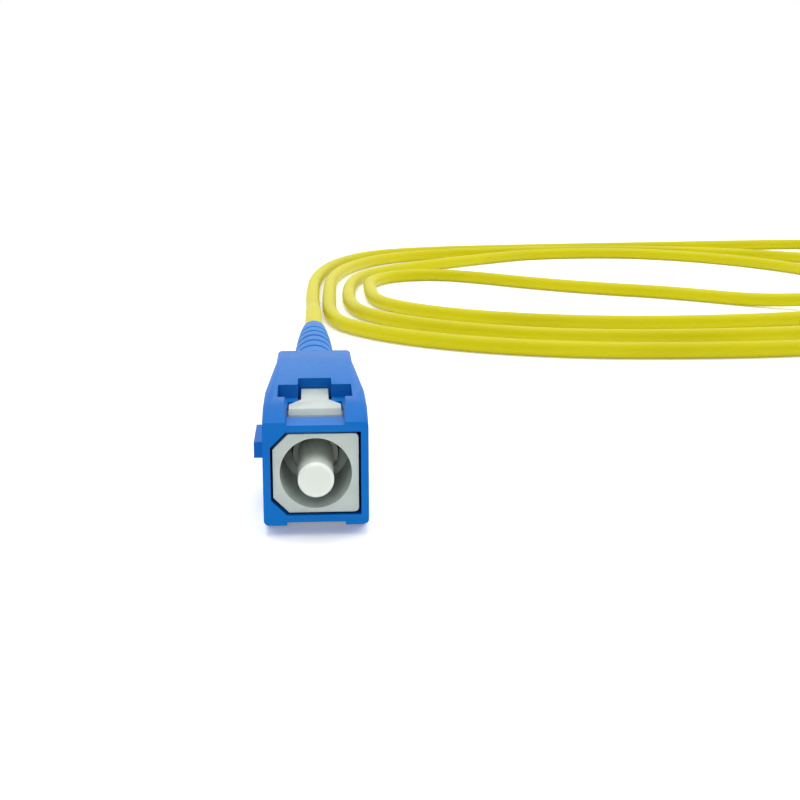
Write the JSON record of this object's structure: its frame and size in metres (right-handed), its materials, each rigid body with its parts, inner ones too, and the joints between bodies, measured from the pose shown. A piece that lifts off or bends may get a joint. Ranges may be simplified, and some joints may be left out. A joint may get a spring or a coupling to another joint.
{
  "type": "fibre optic patch lead",
  "caption": "Push-pull fibre connector with a floating ceramic ferrule, sliding blue grip housing and soft boot, on a coiled yellow jacketed patch lead.",
  "frame": {"origin": "centre of the near connector's ferrule tip", "axes": "+Y along the connector towards the cable, +Z out of the upper latch face, the key on -X"},
  "size_m": [0.1503, 0.189, 0.009],
  "materials": {
    "housing": "satin blue moulding",
    "frame": "pale grey moulding",
    "ceramic": "polished white ceramic",
    "nickel": "nickel plated",
    "tube": "natural",
    "buffer": "white coating",
    "spring": "drawn wire",
    "crimp": "plain",
    "boot": "soft matt blue",
    "jacket": "smooth yellow jacket"
  },
  "bodies": {
    "core": {"plug_frame": "frame", "stop_body": "nickel", "crimp_sleeve": "crimp", "boot": "boot", "far_plug_frame": "frame", "far_stop_body": "nickel", "far_crimp_sleeve": "crimp", "far_boot": "boot", "cable_coil": "jacket", "cable_lead": "jacket", "cable_tail": "jacket"},
    "grip": {"grip_housing": "housing"},
    "ferrule_unit": {"ferrule": "ceramic", "ferrule_flange": "nickel", "guide_tube": "tube", "fibre_buffer": "buffer", "ferrule_spring": "spring"},
    "far_grip": {"far_grip_housing": "housing"},
    "far_ferrule_unit": {"far_ferrule": "ceramic", "far_ferrule_flange": "nickel", "far_guide_tube": "tube", "far_fibre_buffer": "buffer", "far_ferrule_spring": "spring"}
  },
  "joints": [
    {"name": "grip_slide", "type": "slide", "parent": "core", "child": "grip", "axis": [0, 1, 0], "range_m": [0, 0.0012]},
    {"name": "ferrule_float", "type": "slide", "parent": "core", "child": "ferrule_unit", "axis": [0, 1, 0], "range_m": [0, 0.001], "stiffness_N_per_m": 900, "deforming": ["ferrule_spring"]},
    {"name": "far_grip_slide", "type": "slide", "parent": "core", "child": "far_grip", "axis": [0, 1, 0], "range_m": [0, 0.0012]},
    {"name": "far_ferrule_float", "type": "slide", "parent": "core", "child": "far_ferrule_unit", "axis": [0, 1, 0], "range_m": [0, 0.001], "stiffness_N_per_m": 900, "deforming": ["far_ferrule_spring"]}
  ]
}
